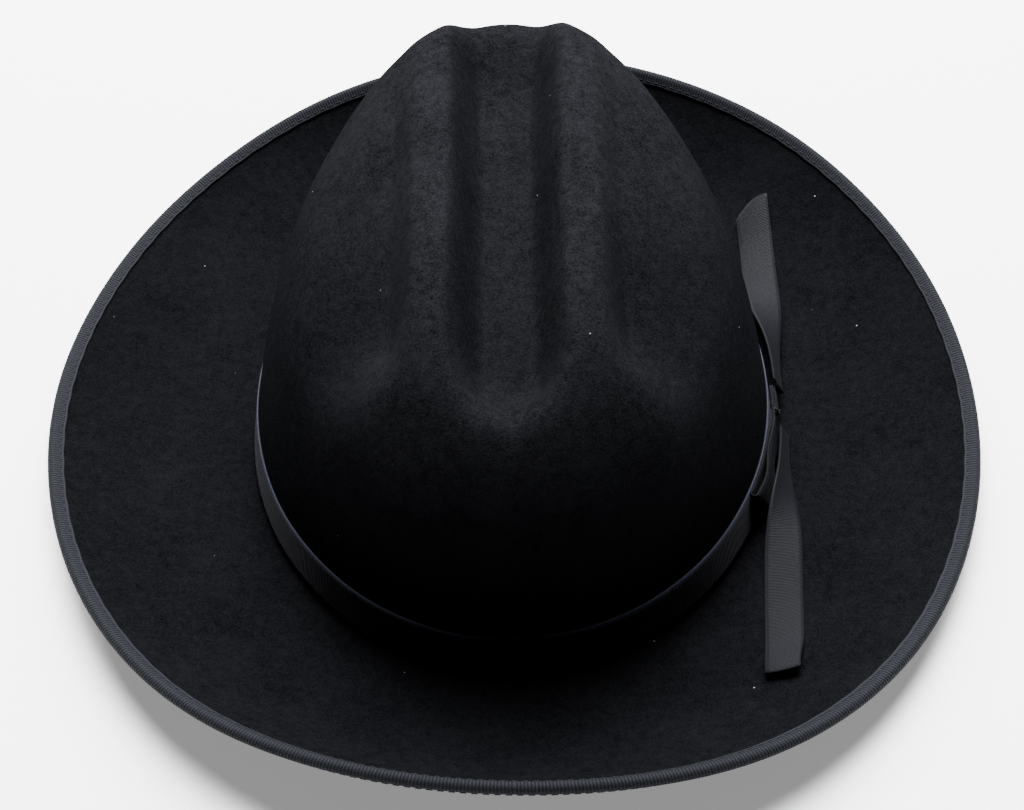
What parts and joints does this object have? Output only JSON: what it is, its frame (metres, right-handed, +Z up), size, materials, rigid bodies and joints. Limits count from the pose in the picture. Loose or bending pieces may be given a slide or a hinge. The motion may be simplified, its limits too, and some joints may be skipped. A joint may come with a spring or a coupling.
{
  "type": "cowboy hat",
  "caption": "Cattleman-creased felt cowboy hat with a ribbon-bound rolled brim, a side-tied grosgrain hatband, a leather sweatband and a satin lining.",
  "frame": {"origin": "under the middle of the head opening, on the surface that the hat stands on", "axes": "+Z up through the crown, the front of the hat towards -Y, the bow on the wearer's left at +X"},
  "size_m": [0.3052, 0.3294, 0.1173],
  "materials": {
    "felt": "brushed matt fur felt",
    "grosgrain": "fine ribs, slight sheen",
    "thread": "spun",
    "leather": "smooth satin",
    "reed": "matt",
    "tape": "woven",
    "satin": "satin sheen",
    "piping": "satin sheen",
    "clear_plastic": "clear gloss",
    "tag": "woven matt"
  },
  "bodies": {
    "hat": {"felt_body": "felt", "brim_binding": "grosgrain", "binding_top_thread": "thread", "binding_under_thread": "thread", "hatband_ribbon": "grosgrain", "hatband_tacks": "thread", "bow_neck": "grosgrain", "bow_tie_thread": "thread", "bow_loop": "grosgrain", "sweatband": "leather", "sweatband_reed": "reed", "reed_tape": "tape", "sweatband_thread": "thread", "sweatband_seam_tab": "leather", "size_tag": "tag", "lining_side": "satin", "lining_tip": "satin", "lining_piping": "piping", "tip_shield": "clear_plastic"},
    "front_tail": {"bow_front_tail": "grosgrain"},
    "rear_tail": {"bow_rear_tail": "grosgrain"}
  },
  "joints": [
    {"name": "front_tail_lift", "type": "hinge", "parent": "hat", "child": "front_tail", "pos_m": [0.08948, -0.009, 0.0056], "axis": [-0.5, 0, 0.866], "range_deg": [0, 60]},
    {"name": "rear_tail_lift", "type": "hinge", "parent": "hat", "child": "rear_tail", "pos_m": [0.08846, 0.0075, 0.011], "axis": [0.4226, 0, -0.9063], "range_deg": [0, 60]}
  ]
}
